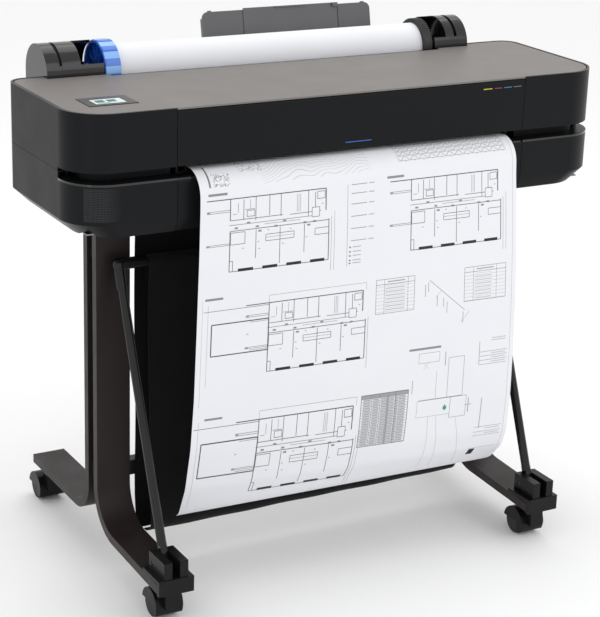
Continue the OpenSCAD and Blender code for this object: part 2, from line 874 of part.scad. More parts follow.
base_pan();
side_frames();
lower_cover(-1);  // lower_cover_left
lower_cover(1);  // lower_cover_right
lower_front_panel();
upper_cover(-1);  // upper_cover_left
upper_cover(1);  // upper_cover_right
top_deck();
front_door();
rear_cover();
roll_tray();
roll_support(-1, left_in, left_ring, left_out);  // roll_support_left
roll_support(1, right_in, right_ring, right_out);  // roll_support_right
spindle_shaft();
blue_hub();
black_hub();
paper_roll();
sheet_tray();
tray_extension();
panel_bezel();
touchscreen();
ink_bay();
platen();
feed_roller();
pinch_rollers();
guide_beam();
guide_rod();
carriage();
drive_belt();
idler_pulley();
motor_pulley();
carriage_motor();
feed_motor();
service_station();
ink_cartridges();
main_board();
power_supply();
power_inlet();
power_switch();
leg(-1, -1);  // front_leg_left
leg(1, -1);  // front_leg_right
leg(-1, 1);  // rear_leg_left
leg(1, 1);  // rear_leg_right
cross_bar();
foot_brackets();
caster_hood(-1, false);  // caster_hood_front_left
caster_hood(1, false);  // caster_hood_front_right
caster_hood(-1, true);  // caster_hood_rear_left
caster_hood(1, true);  // caster_hood_rear_right
caster_wheels(-1, false);  // caster_wheels_front_left
caster_wheels(1, false);  // caster_wheels_front_right
caster_wheels(-1, true);  // caster_wheels_rear_left
caster_wheels(1, true);  // caster_wheels_rear_right
basket_rod(-1);  // basket_rod_left
basket_rod(1);  // basket_rod_right
basket_bar();
basket_front_fabric();
basket_rear_fabric();
printed_sheet();
screws();
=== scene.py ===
# %% [markdown]
# # A roll-fed plotter on its wheeled stand
# A large format plotter prints on paper from a roll. The roll lies in a bay at the back, the sheet
# runs through the housing and hangs out of a slot at the front, and a fabric basket between the legs
# waits for it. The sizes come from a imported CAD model, which is loaded first and never moved.
# This lesson dresses that model: it rounds the moulded edges, sews the fabric, hangs the sheet,
# draws a plan on it and gives every part its finish.

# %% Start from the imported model
import json
import math

import bmesh
import bpy
import numpy as np
from mathutils import Matrix, Vector


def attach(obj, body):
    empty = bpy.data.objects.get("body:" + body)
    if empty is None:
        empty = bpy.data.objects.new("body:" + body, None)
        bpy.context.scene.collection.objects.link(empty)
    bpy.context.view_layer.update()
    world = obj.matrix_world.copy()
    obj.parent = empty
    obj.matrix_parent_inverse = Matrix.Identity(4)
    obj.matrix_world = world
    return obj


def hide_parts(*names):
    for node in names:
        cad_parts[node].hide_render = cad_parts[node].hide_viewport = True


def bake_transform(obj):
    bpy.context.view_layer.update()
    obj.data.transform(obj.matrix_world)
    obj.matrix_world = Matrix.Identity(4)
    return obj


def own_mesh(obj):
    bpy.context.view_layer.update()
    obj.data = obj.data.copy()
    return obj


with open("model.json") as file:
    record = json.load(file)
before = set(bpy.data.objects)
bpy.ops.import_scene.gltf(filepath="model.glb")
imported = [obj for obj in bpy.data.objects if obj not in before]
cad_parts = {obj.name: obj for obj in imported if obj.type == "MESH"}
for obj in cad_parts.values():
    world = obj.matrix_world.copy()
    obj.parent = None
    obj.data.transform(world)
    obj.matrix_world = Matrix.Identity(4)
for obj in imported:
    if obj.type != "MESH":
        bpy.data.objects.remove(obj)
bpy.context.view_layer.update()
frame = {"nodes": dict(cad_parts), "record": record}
MM = 0.001
body_of = {
    part: body
    for body, parts in frame["record"]["behaviour"]["bodies"].items()
    for part in parts
}
slot_of = {part["node"]: part["material_slot"] for part in frame["record"]["subparts"]}

# %% [markdown]
# ## The camera
# The view is from the front left and a little above. A long lens keeps the verticals nearly
# parallel, as in a catalogue. The camera's three axes are worked out from its azimuth, its
# elevation and a small roll, because that is easier to read than Euler angles.

# %% Camera
AZIMUTH, ELEVATION, ROLL = (math.radians(a) for a in (-29.617, 18.928, 1.821))
CAMERA_PLACE = (-1.5556, -2.7671, 1.5017)
FOCAL_MM, SENSOR_MM = 107.61, 36
back = Vector(
    (
        math.sin(AZIMUTH) * math.cos(ELEVATION),
        -math.cos(AZIMUTH) * math.cos(ELEVATION),
        math.sin(ELEVATION),
    )
)
level_right = (-back).cross(Vector((0, 0, 1))).normalized()
level_up = level_right.cross(-back)
cam_right = level_right * math.cos(ROLL) + level_up * math.sin(ROLL)
cam_up = level_up * math.cos(ROLL) - level_right * math.sin(ROLL)
camera = bpy.data.objects.new("camera", bpy.data.cameras.new("camera"))
bpy.context.collection.objects.link(camera)
camera.data.lens = FOCAL_MM
camera.data.sensor_width = SENSOR_MM
camera.data.clip_end = 100
facing = Matrix((cam_right, cam_up, back)).transposed().to_4x4()
camera.matrix_world = Matrix.Translation(CAMERA_PLACE) @ facing
bpy.context.scene.camera = camera
print("camera at", [round(v, 3) for v in camera.matrix_world.translation])

# %% [markdown]
# ## The studio
# A catalogue shot uses big soft lights, so that dark plastic shows long gentle highlights and the
# floor keeps only a faint shadow. Large area lights do the same here, over a pale floor.


# %% Lights and floor
def soft_light(name, place, aim, width, height, power):
    data = bpy.data.lights.new(name, "AREA")
    data.shape, data.size, data.size_y, data.energy = "RECTANGLE", width, height, power
    lamp = bpy.data.objects.new(name, data)
    bpy.context.collection.objects.link(lamp)
    lamp.location = place
    lamp.rotation_euler = (Vector(aim) - Vector(place)).to_track_quat("-Z", "Y").to_euler()
    return lamp


def linear(red, green, blue):
    """A colour as painters name it, 0 to 255, turned into light."""
    return tuple(
        (c / 255 / 12.92) if c / 255 <= 0.04045 else ((c / 255 + 0.055) / 1.055) ** 2.4
        for c in (red, green, blue)
    ) + (1.0,)


soft_light("key", (1.5, -3.0, 2.8), (0, 0, 0.6), 2.0, 2.0, 14)
soft_light("front_strip", (-0.4, -3.6, 0.9), (0, 0, 0.5), 3.0, 0.8, 1.6)
soft_light("left_strip", (-2.6, -1.9, 0.7), (-0.5, 0, 0.6), 0.5, 1.4, 2.0)
soft_light("right_fill", (3.0, -1.2, 1.6), (0, 0, 0.5), 1.6, 2.0, 8)
soft_light("overhead", (0.3, 0.9, 2.9), (0, -0.1, 0.8), 2.6, 1.6, 16)
world = bpy.data.worlds.new("studio")
bpy.context.scene.world = world
world.use_nodes = True
sky = world.node_tree.nodes["Background"]
sky.inputs["Color"].default_value = (1, 1, 1, 1)
sky.inputs["Strength"].default_value = 1.0
bpy.context.scene.view_settings.view_transform = "Standard"
bpy.ops.object.select_all(action="DESELECT")
bpy.ops.mesh.primitive_plane_add(size=40, location=(0, 0, 0))
floor = bpy.context.object
floor.name = "floor"
floor_paint = bpy.data.materials.new("floor_paint")
floor_paint.use_nodes = True
floor_shader = floor_paint.node_tree.nodes["Principled BSDF"]
floor_shader.inputs["Base Color"].default_value = (0.93, 0.93, 0.93, 1)
floor_shader.inputs["Roughness"].default_value = 0.9
floor.data.materials.append(floor_paint)
print("studio ready")

# %% [markdown]
# ## Tools for materials
# A material is a small circuit of nodes. These helpers add a node, join it and hand back a socket,
# so a recipe reads from left to right. An effect that several finishes share, such as the grain of
# moulded plastic, is built once as a node group with named inputs and outputs.


# %% Node helpers
def add_node(tree, kind, links=None, **settings):
    made = tree.nodes.new(kind)
    for key, value in settings.items():
        setattr(made, key, value)
    for key, value in (links or {}).items():
        join(tree, value, made.inputs[key])
    return made


def join(tree, value, socket):
    if isinstance(value, bpy.types.NodeSocket):
        tree.links.new(value, socket)
    else:
        socket.default_value = value


def calc(tree, operation, *values):
    made = tree.nodes.new("ShaderNodeMath")
    made.operation = operation
    for k, value in enumerate(values):
        join(tree, value, made.inputs[k])
    return made.outputs[0]


def new_group(name, inputs, outputs):
    """inputs and outputs are (name, kind) pairs, kind being Vector, Float or Color."""
    tree = bpy.data.node_groups.new(name, "ShaderNodeTree")
    for label, kind in inputs:
        tree.interface.new_socket(name=label, in_out="INPUT", socket_type=f"NodeSocket{kind}")
    for label, kind in outputs:
        tree.interface.new_socket(name=label, in_out="OUTPUT", socket_type=f"NodeSocket{kind}")
    entry = tree.nodes.new("NodeGroupInput")
    end = tree.nodes.new("NodeGroupOutput")
    return tree, entry.outputs, end.inputs


# %% [markdown]
# ## Shared effects
# *Moulded grain* is the fine sand texture that a mould leaves, with a slower waviness and a faint
# unevenness of tone. *Plain weave* crosses two sets of threads by multiplying two waves. *Handling*
# gives the soft patches that make a gloss surface look touched.

# %% Effect groups
grain_group, g_in, g_out = new_group(
    "moulded_grain", [("Vector", "Vector"), ("Size", "Float")], [("Height", "Float"), ("Tone", "Float")]
)
fine = add_node(grain_group, "ShaderNodeTexNoise", {"Vector": g_in["Vector"], "Scale": g_in["Size"]})
fine.inputs["Detail"].default_value = 3
slow = add_node(grain_group, "ShaderNodeTexNoise", {"Vector": g_in["Vector"], "Scale": 7.0})
slow.inputs["Detail"].default_value = 2
join(grain_group, fine.outputs["Fac"], g_out["Height"])
join(grain_group, slow.outputs["Fac"], g_out["Tone"])

weave_group, w_in, w_out = new_group(
    "plain_weave", [("Vector", "Vector"), ("Threads", "Float")], [("Height", "Float"), ("Tone", "Float")]
)
axes = add_node(weave_group, "ShaderNodeSeparateXYZ", {"Vector": w_in["Vector"]})
waves = [
    calc(weave_group, "SINE", calc(weave_group, "MULTIPLY", axes.outputs[a], w_in["Threads"]))
    for a in ("X", "Y")
]
crossing = calc(weave_group, "MULTIPLY", *waves)
join(weave_group, calc(weave_group, "MULTIPLY_ADD", crossing, 0.5, 0.5), w_out["Height"])
slub = add_node(weave_group, "ShaderNodeTexNoise", {"Vector": w_in["Vector"], "Scale": 60.0})
join(weave_group, slub.outputs["Fac"], w_out["Tone"])

touch_group, t_in, t_out = new_group(
    "handling", [("Vector", "Vector"), ("Low", "Float"), ("High", "Float")], [("Roughness", "Float")]
)
patches = add_node(touch_group, "ShaderNodeTexNoise", {"Vector": t_in["Vector"], "Scale": 14.0})
patches.inputs["Detail"].default_value = 4
spread = add_node(
    touch_group,
    "ShaderNodeMapRange",
    {"Value": patches.outputs["Fac"], "To Min": t_in["Low"], "To Max": t_in["High"]},
)
spread.inputs["From Min"].default_value = 0.3
spread.inputs["From Max"].default_value = 0.7
join(touch_group, spread.outputs["Result"], t_out["Roughness"])
print("effect groups:", [g.name for g in bpy.data.node_groups])


# %% [markdown]
# ## The finishes
# Every finish starts from the same recipe: two near colours mixed by the slow tone, a roughness
# that wanders between two values, and a shallow bump from the grain. The numbers make it plastic,
# powder coat, paper or steel.


# %% One recipe for every finish
def finish_recipe(
    name, light_tone, dark_tone, rough, grain=900.0, depth=0.00006, metal=0.0, coat=0.0, specular=0.5
):
    material = bpy.data.materials.new(name)
    material.use_nodes = True
    tree = material.node_tree
    shader = tree.nodes["Principled BSDF"]
    place = tree.nodes.new("ShaderNodeTexCoord").outputs["Object"]
    grain_node = add_node(tree, "ShaderNodeGroup", node_tree=grain_group)
    join(tree, place, grain_node.inputs["Vector"])
    grain_node.inputs["Size"].default_value = grain
    touch_node = add_node(tree, "ShaderNodeGroup", node_tree=touch_group)
    join(tree, place, touch_node.inputs["Vector"])
    touch_node.inputs["Low"].default_value, touch_node.inputs["High"].default_value = rough
    tone = add_node(tree, "ShaderNodeMix", data_type="RGBA")
    join(tree, grain_node.outputs["Tone"], tone.inputs["Factor"])
    tone.inputs["A"].default_value, tone.inputs["B"].default_value = light_tone, dark_tone
    bump = add_node(tree, "ShaderNodeBump", {"Height": grain_node.outputs["Height"]})
    bump.inputs["Distance"].default_value = depth
    bump.inputs["Strength"].default_value = 1.0
    join(tree, tone.outputs["Result"], shader.inputs["Base Color"])
    join(tree, touch_node.outputs["Roughness"], shader.inputs["Roughness"])
    join(tree, bump.outputs["Normal"], shader.inputs["Normal"])
    shader.inputs["Metallic"].default_value = metal
    shader.inputs["Coat Weight"].default_value = coat
    shader.inputs["Coat Roughness"].default_value = 0.08
    shader.inputs["Specular IOR Level"].default_value = specular
    return material


def shell(name):
    """The charcoal of the housing, which several parts vary."""
    return finish_recipe(name, linear(20, 21, 23), linear(17, 18, 20), (0.32, 0.40), specular=0.12)


finishes = {
    "housing": shell("charcoal_shell"),
    "deck": finish_recipe(
        "warm_grey_deck", linear(118, 113, 110), linear(114, 109, 106), (0.44, 0.50), 1400, 0.00004,
        specular=0.3,
    ),
    "gloss_black": finish_recipe(
        "polished_black", linear(17, 17, 19), linear(13, 13, 15), (0.14, 0.20), 300, 0.00002,
        coat=0.3, specular=0.35,
    ),
    "blue_plastic": finish_recipe(
        "hub_blue", linear(38, 98, 205), linear(24, 78, 185), (0.22, 0.32), 500, 0.00003, coat=0.3
    ),
    "paper": finish_recipe(
        "roll_paper", linear(230, 231, 235), linear(226, 227, 232), (0.62, 0.72), 2500, 0.00003
    ),
    "tray_grey": finish_recipe("tray_grey", linear(92, 92, 95), linear(84, 84, 87), (0.38, 0.46)),
    "screen": finish_recipe(
        "screen_glass", linear(205, 226, 218), linear(198, 221, 212), (0.10, 0.16), 60, 0.0, coat=0.6
    ),
    "steel": finish_recipe(
        "turned_steel", linear(176, 177, 180), linear(160, 161, 165), (0.24, 0.36), 700, 0.00002, metal=1.0
    ),
    "engine_plastic": finish_recipe("engine_plastic", linear(34, 34, 36), linear(28, 28, 30), (0.42, 0.52)),
    "rubber_grey": finish_recipe("roller_rubber", linear(86, 87, 90), linear(76, 77, 80), (0.66, 0.78)),
    "rubber_black": finish_recipe("belt_rubber", linear(26, 26, 27), linear(21, 21, 22), (0.62, 0.74)),
    "ink_plastic": finish_recipe("cartridge_plastic", linear(70, 72, 76), linear(60, 62, 66), (0.35, 0.45)),
    "board": finish_recipe("circuit_board", linear(34, 92, 58), linear(26, 78, 48), (0.35, 0.5), 260),
    "motor": finish_recipe("motor_paint", linear(42, 42, 46), linear(36, 36, 40), (0.32, 0.42)),
    "stand_metal": finish_recipe(
        "powder_coat", linear(38, 31, 29), linear(31, 25, 23), (0.40, 0.52), 1100, 0.00012,
        specular=0.3,
    ),
    "caster_plastic": finish_recipe(
        "caster_nylon", linear(18, 18, 20), linear(14, 14, 16), (0.30, 0.40), specular=0.2
    ),
    "caster_tread": finish_recipe("caster_tread", linear(30, 30, 32), linear(24, 24, 26), (0.55, 0.68)),
    "rod_black": finish_recipe(
        "lacquered_rod", linear(14, 14, 16), linear(10, 10, 12), (0.18, 0.26), 500, 0.00003,
        coat=0.1, specular=0.3,
    ),
    "fabric": finish_recipe(
        "plain_cloth", linear(12, 12, 14), linear(8, 8, 10), (0.85, 0.92), specular=0.1
    ),
    "galvanised": finish_recipe(
        "zinc_sheet", linear(150, 152, 154), linear(128, 130, 133), (0.36, 0.52), 90, 0.00004, metal=0.8
    ),
}
for part, node_object in frame["nodes"].items():
    node_object.data.materials.clear()
    node_object.data.materials.append(finishes[slot_of[part]])
print(len(finishes), "finishes on", len(frame["nodes"]), "parts")

# %% [markdown]
# ## Finishes that change along a part
# Some parts are not the same all over. The rim of the upper covers beside the deck is painted
# paler, partly the deck's lighter tone and partly a painted highlight along its edge; the lip
# under the paper slot is polished, the left corner of the lower cover carries a field of fine
# diamonds that fades out, and the sockets on the board are metal, not green. A mask made from the
# object's own coordinates says where, and one function mixes the second colour in.


# %% Paint over part of a finish
def object_axes(tree):
    place = tree.nodes.new("ShaderNodeTexCoord").outputs["Object"]
    return add_node(tree, "ShaderNodeSeparateXYZ", {"Vector": place}).outputs


def paint_over(material, mask, colour):
    """Mixes colour over the base colour where mask, a socket of the same tree, is 1."""
    tree = material.node_tree
    socket = tree.nodes["Principled BSDF"].inputs["Base Color"]
    under = socket.links[0].from_socket
    cover = add_node(tree, "ShaderNodeMix", data_type="RGBA")
    join(tree, mask, cover.inputs["Factor"])
    join(tree, under, cover.inputs["A"])
    cover.inputs["B"].default_value = colour
    join(tree, cover.outputs["Result"], socket)


def band_mask(tree, value, low, high):
    """1 where value lies between low and high."""
    above = calc(tree, "GREATER_THAN", value, low)
    below = calc(tree, "LESS_THAN", value, high)
    return calc(tree, "MULTIPLY", above, below)


# %% The rim, the polished lip, the diamonds and the screen frame
RIM_Z = 0.8562
POLISH_LOW, POLISH_HIGH = 0.7412, 0.7446
SLOT_BACK_Y = -0.138
DIAMONDS_PER_M = 1150.0
DIAMOND_FILL = 0.1
DIAMONDS_LOW, DIAMONDS_HIGH = 0.684, 0.738
DIAMONDS_LEFT, DIAMONDS_BACK_Y = -0.486, -0.145
FADE_START, FADE_END = -0.456, -0.430
SOCKET_Y = 0.149


def polished_lip(name):
    """The shell finish with a clear coat along the lip of the slot."""
    material = shell(name)
    tree = material.node_tree
    axes = object_axes(tree)
    lip = band_mask(tree, axes["Z"], POLISH_LOW, POLISH_HIGH)
    lip = calc(tree, "MULTIPLY", lip, calc(tree, "LESS_THAN", axes["Y"], SLOT_BACK_Y))
    join(tree, lip, tree.nodes["Principled BSDF"].inputs["Coat Weight"])
    return material


def add_diamonds(material):
    """Fine, slightly paler diamonds round the corner that fade out towards the middle."""
    tree = material.node_tree
    axes = object_axes(tree)
    along = calc(tree, "SUBTRACT", axes["X"], axes["Y"])
    waves = [
        calc(tree, "SINE", calc(tree, "MULTIPLY", calc(tree, way, along, axes["Z"]), DIAMONDS_PER_M))
        for way in ("ADD", "SUBTRACT")
    ]
    fade = add_node(tree, "ShaderNodeMapRange", {"Value": axes["X"]})
    limits = {"From Min": FADE_START, "From Max": FADE_END, "To Min": 1.0, "To Max": 0.0}
    for socket_name, value in limits.items():
        fade.inputs[socket_name].default_value = value
    mask = calc(tree, "GREATER_THAN", calc(tree, "MULTIPLY", *waves), DIAMOND_FILL)
    for more in (
        fade.outputs["Result"],
        band_mask(tree, axes["Z"], DIAMONDS_LOW, DIAMONDS_HIGH),
        calc(tree, "GREATER_THAN", axes["X"], DIAMONDS_LEFT),
        calc(tree, "LESS_THAN", axes["Y"], DIAMONDS_BACK_Y),
    ):
        mask = calc(tree, "MULTIPLY", mask, more)
    paint_over(material, calc(tree, "MULTIPLY", mask, 0.8), linear(62, 63, 66))
    return material


# The rim's top face is painted paler: partly the deck's lighter tone, partly a painted highlight along its
# edge.
rim_tone_and_highlight_shell = shell("charcoal_with_rim_tone_and_highlight")
rim_tone_and_highlight_mask = calc(rim_tone_and_highlight_shell.node_tree, "GREATER_THAN", object_axes(rim_tone_and_highlight_shell.node_tree)["Z"], RIM_Z)
paint_over(rim_tone_and_highlight_shell, rim_tone_and_highlight_mask, linear(70, 68, 67))
lip_shell = polished_lip("charcoal_with_lip")
screen_frame = finish_recipe(
    "screen_frame", linear(38, 37, 39), linear(32, 31, 33), (0.30, 0.38), specular=0.3
)
green_board = finishes["board"]
socket_mask = calc(
    green_board.node_tree, "GREATER_THAN", object_axes(green_board.node_tree)["Y"], SOCKET_Y
)
paint_over(green_board, socket_mask, linear(96, 98, 101))
OWN_FINISH = {
    "upper_cover_left": rim_tone_and_highlight_shell,
    "upper_cover_right": rim_tone_and_highlight_shell,
    "lower_cover_left": add_diamonds(polished_lip("charcoal_with_diamonds")),
    "lower_cover_right": lip_shell,
    "lower_front_panel": lip_shell,
    "panel_bezel": screen_frame,
    "foot_brackets": finishes["caster_plastic"],
}
for part, material in OWN_FINISH.items():
    frame["nodes"][part].data.materials[0] = material
print("own finishes:", sorted(OWN_FINISH))

# %% [markdown]
# ## Rounding the moulded and bent edges
# A real edge is never perfectly sharp: plastic shells have a small radius and bent steel a larger
# one, and that radius is what catches the light. A copy of each CAD part is merged into a clean
# mesh, its flat faces are joined, and a bevel rounds the edges that turn by more than a chosen
# angle. The copy then stands for the CAD part.


# %% Helpers that work on one piece
BEVEL_TURN, SMOOTH_TURN = math.radians(28), math.radians(32)
LIP_Z = 0.745
LIP_NEAR = 0.0004
LIP_FRONT_Y = -0.17
LIP_RADIUS_MM, LIP_SEGMENTS = 5.0, 5
LIP_SHARP = math.radians(60)
LIP_PARTS = ("lower_cover_left", "lower_cover_right", "lower_front_panel")


def pick(obj):
    if bpy.context.object and bpy.context.object.mode != "OBJECT":
        bpy.ops.object.mode_set(mode="OBJECT")
    bpy.ops.object.select_all(action="DESELECT")
    obj.select_set(True)
    bpy.context.view_layer.objects.active = obj


def apply_modifier(obj, name, kind, **settings):
    modifier = obj.modifiers.new(name, kind)
    for key, value in settings.items():
        setattr(modifier, key, value)
    pick(obj)
    bpy.ops.object.modifier_apply(modifier=name)


def clean_copy(part, name):
    obj = bpy.data.objects.new(name, frame["nodes"][part].data.copy())
    bpy.context.collection.objects.link(obj)
    pick(obj)
    bpy.ops.object.mode_set(mode="EDIT")
    bpy.ops.mesh.select_all(action="SELECT")
    bpy.ops.mesh.customdata_custom_splitnormals_clear()
    bpy.ops.mesh.remove_doubles(threshold=0.00002)
    bpy.ops.mesh.dissolve_limited(angle_limit=math.radians(1.0))
    bpy.ops.object.mode_set(mode="OBJECT")
    return obj


def round_lip(obj):
    """Rounds the outer front edge of the slot, which is far softer than the other edges."""
    pick(obj)
    bpy.ops.object.mode_set(mode="EDIT")
    bpy.ops.mesh.select_mode(type="EDGE")
    bpy.ops.mesh.select_all(action="DESELECT")
    edit_mesh = bmesh.from_edit_mesh(obj.data)
    for edge in edit_mesh.edges:
        level = all(abs(v.co.z - LIP_Z) < LIP_NEAR for v in edge.verts)
        sharp = len(edge.link_faces) == 2 and edge.calc_face_angle(0) > LIP_SHARP
        corner = edge.verts[0].co
        outer = level and sharp and any(
            abs(f.normal.z) < 0.3
            and f.normal.x * corner.x + f.normal.y * corner.y > 0
            and f.calc_center_median().y < -0.1
            for f in edge.link_faces
        )
        edge.select_set(outer and min(v.co.y for v in edge.verts) < LIP_FRONT_Y)
    bmesh.update_edit_mesh(obj.data)
    bpy.ops.mesh.bevel(offset=LIP_RADIUS_MM * MM, segments=LIP_SEGMENTS, clamp_overlap=True)
    bpy.ops.object.mode_set(mode="OBJECT")


def rounded(part, radius_mm):
    """A bevelled copy that stands for the part and rides on its body."""
    obj = clean_copy(part, part + "_rounded")
    if part in LIP_PARTS:
        round_lip(obj)
    apply_modifier(
        obj,
        "edge",
        "BEVEL",
        width=radius_mm * MM,
        segments=2,
        limit_method="ANGLE",
        angle_limit=BEVEL_TURN,
        use_clamp_overlap=True,
        miter_outer="MITER_ARC",
        harden_normals=False,
    )
    pick(obj)
    bpy.ops.object.shade_smooth_by_angle(angle=SMOOTH_TURN)
    apply_modifier(obj, "even", "WEIGHTED_NORMAL", keep_sharp=True, weight=60)
    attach(obj, body_of[part])
    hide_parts(part)
    return obj


# %% Rounded copies
EDGE_RADII = {
    "upper_cover_left": 0.9,
    "upper_cover_right": 0.9,
    "lower_cover_left": 0.8,
    "lower_cover_right": 0.8,
    "lower_front_panel": 0.5,
    "front_door": 0.7,
    "top_deck": 0.25,
    "rear_cover": 1.0,
    "roll_tray": 0.4,
    "roll_support_left": 1.6,
    "roll_support_right": 1.6,
    "blue_hub": 0.6,
    "black_hub": 0.3,
    "sheet_tray": 0.9,
    "tray_extension": 0.35,
    "panel_bezel": 0.3,
    "front_leg_left": 0.8,
    "front_leg_right": 0.8,
    "rear_leg_left": 0.8,
    "rear_leg_right": 0.8,
    "cross_bar": 1.2,
    "foot_brackets": 1.4,
    "basket_rod_left": 0.8,
    "basket_rod_right": 0.8,
    "basket_bar": 0.6,
    "power_inlet": 0.5,
    "power_switch": 0.5,
    "screws": 0.4,
    "paper_roll": 0.3,
    "spindle_shaft": 0.6,
}
for corner in ("front_left", "front_right", "rear_left", "rear_right"):
    EDGE_RADII["caster_hood_" + corner] = 0.9
    EDGE_RADII["caster_wheels_" + corner] = 1.2
dressed = {part: rounded(part, radius) for part, radius in EDGE_RADII.items()}
for part, obj in dressed.items():
    obj.data.materials.clear()
    obj.data.materials.append(OWN_FINISH.get(part, finishes[slot_of[part]]))
print(len(dressed), "rounded pieces,", sum(len(o.data.polygons) for o in dressed.values()), "faces")

# %% [markdown]
# ## Cloth and paper as one kind of surface
# A hanging sheet bends along its length and hardly at all across it, so it is described by the path
# of its left edge and the path of its right edge, in the plane seen from the side. Straight lines
# between matching points of the two paths give a surface that paper can really take. A grid is
# added and its points are moved onto that surface, and its UV map is laid out in metres.


# %% A path in the side plane
def smooth_path(points, soften=26):
    """A polyline through (y, z) in millimetres, rounded by averaging, with a point every millimetre."""
    corners = np.array(points, float)
    run = np.r_[0, np.cumsum(np.linalg.norm(np.diff(corners, axis=0), axis=1))]
    steps = np.arange(0, run[-1], 1.0)
    line = np.stack([np.interp(steps, run, corners[:, k]) for k in (0, 1)], axis=1)
    window = np.ones(soften) / soften
    for _ in range(2):
        ends = [2 * line[0] - line[soften:0:-1], line, 2 * line[-1] - line[-2 : -soften - 2 : -1]]
        padded = np.concatenate(ends)
        rounded_line = np.stack([np.convolve(padded[:, k], window, "same") for k in (0, 1)], axis=1)
        line = rounded_line[soften:-soften]
    return line


def walk(path, distance):
    """The point of a path at each distance from its start, in millimetres."""
    run = np.r_[0, np.cumsum(np.linalg.norm(np.diff(path, axis=0), axis=1))]
    return np.stack([np.interp(distance, run, path[:, k]) for k in (0, 1)], axis=-1), run[-1]


# %% A sheet between two paths
def hang_sheet(name, left, right, width_mm, length_mm, columns, rows, thickness_mm, ripple=None):
    bpy.ops.object.select_all(action="DESELECT")
    bpy.ops.mesh.primitive_grid_add(x_subdivisions=columns, y_subdivisions=rows, size=2, calc_uvs=True)
    obj = bpy.context.object
    obj.name = name
    flat = np.empty(len(obj.data.vertices) * 3)
    obj.data.vertices.foreach_get("co", flat)
    flat = flat.reshape(-1, 3)
    across, down = (flat[:, 0] + 1) / 2, (1 - flat[:, 1]) / 2
    left_points, _ = walk(left, down * length_mm)
    right_points, _ = walk(right, down * length_mm)
    side = left_points * (1 - across[:, None]) + right_points * across[:, None]
    x = (across - 0.5) * width_mm
    if ripple:
        x, side = ripple(across, down, x, side)
    placed = np.stack([x, side[:, 0], side[:, 1]], axis=1) * MM
    obj.data.vertices.foreach_set("co", placed.ravel())
    uv = obj.data.uv_layers.active.data
    for loop in obj.data.loops:
        k = loop.vertex_index
        uv[loop.index].uv = (across[k] * width_mm * MM, down[k] * length_mm * MM)
    obj.data.update()
    apply_modifier(obj, "thickness", "SOLIDIFY", thickness=thickness_mm * MM, offset=0.0)
    pick(obj)
    bpy.ops.object.shade_smooth_by_angle(angle=math.radians(50))
    return obj


# %% [markdown]
# ## The printed sheet
# The paper leaves the roll downwards, passes the feed roller and the print zone, and bends down
# over the front edge. The roll has set a curl in it, so its lower end swings back under the
# housing, the left corner further than the right. The part inside the housing never moves, and is
# a piece of its own; the part that hangs is another piece.

# %% Paths of the paper
TURN_Y, TURN_Z, TURN_R = -196.0, 712.3, 42.2
turn_down = [
    (TURN_Y + TURN_R * math.cos(a), TURN_Z + TURN_R * math.sin(a))
    for a in (math.radians(90 + 8 * k) for k in range(11))
]
left_path = smooth_path(
    turn_down
    + [(-238, 690), (-237, 650), (-236, 612), (-230, 490), (-223, 365), (-212, 271)]
    + [(-193, 190), (-168, 134), (-126, 108), (-96, 104)],
    14,
)
right_path = smooth_path(
    turn_down
    + [(-240, 690), (-247, 640), (-254, 580), (-263, 468), (-267, 380), (-268, 295)]
    + [(-264, 223), (-252, 187), (-219, 150), (-180, 128), (-140, 118), (-100, 112)],
    14,
)
SHEET_W, SHEET_L, PAPER_T = 610.0, 664.0, 0.3
hanging = hang_sheet("hanging_paper", left_path, right_path, SHEET_W, SHEET_L, 48, 130, PAPER_T)
feed_path = smooth_path(
    [(103, 816.6), (61, 835.4), (50, 830), (42, 800), (36, 772), (30, 762), (20, 754.7)]
    + [(0, 754.7), (TURN_Y, 754.5)],
    6,
)
FEED_L = walk(feed_path, 0.0)[1]
feeding = hang_sheet("feeding_paper", feed_path, feed_path, SHEET_W, FEED_L, 8, 90, PAPER_T)
for sheet in (hanging, feeding):
    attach(sheet, "printer")
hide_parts("printed_sheet")
print("paper: hangs", SHEET_L, "mm, inside", round(FEED_L), "mm")

# %% [markdown]
# ## Drawing a plan on the paper
# A plotter's ink has no thickness, so the drawing belongs in the material. Each line of a floor
# plan is a narrow box on the sheet's UV map: one comparison across, one along, and their product.
# The plan is a group that is used once, in coordinates that start again in each quarter of the
# sheet, so that four plans cost no more than one.


# %% A pen for boxes
INK_SPREAD = 1.35
INK_TONE = 0.5


class Pen:
    """Collects filled boxes on two coordinates of one node tree."""

    def __init__(self, tree, x, y):
        self.tree, self.x, self.y, self.ink = tree, x, y, None

    def box(self, x0, y0, x1, y1, shade=1.0):
        """A box from corner to corner, in millimetres, shade being how dark it prints."""
        across = calc(self.tree, "COMPARE", self.x, (x0 + x1) / 2, abs(x1 - x0) / 2)
        along = calc(self.tree, "COMPARE", self.y, (y0 + y1) / 2, abs(y1 - y0) / 2)
        mark = calc(self.tree, "MULTIPLY", across, along)
        if shade < 1:
            mark = calc(self.tree, "MULTIPLY", mark, shade)
        self.ink = mark if self.ink is None else calc(self.tree, "MAXIMUM", self.ink, mark)
        return self

    def level(self, y, x0, x1, width=0.9, shade=0.8):
        half = width * INK_SPREAD / 2
        return self.box(x0, y - half, x1, y + half, shade**INK_TONE)

    def upright(self, x, y0, y1, width=0.9, shade=0.8):
        half = width * INK_SPREAD / 2
        return self.box(x - half, y0, x + half, y1, shade**INK_TONE)

    def frame(self, x0, y0, x1, y1, width=0.8, shade=0.7):
        self.level(y0, x0, x1, width, shade).level(y1, x0, x1, width, shade)
        return self.upright(x0, y0, y1, width, shade).upright(x1, y0, y1, width, shade)

    def slanted(self, lean):
        """Another pen whose x grows by lean for each step down."""
        other = Pen(self.tree, calc(self.tree, "MULTIPLY_ADD", self.y, -lean, self.x), self.y)
        other.ink = self.ink
        return other

    def take(self, other):
        self.ink = other.ink
        return self


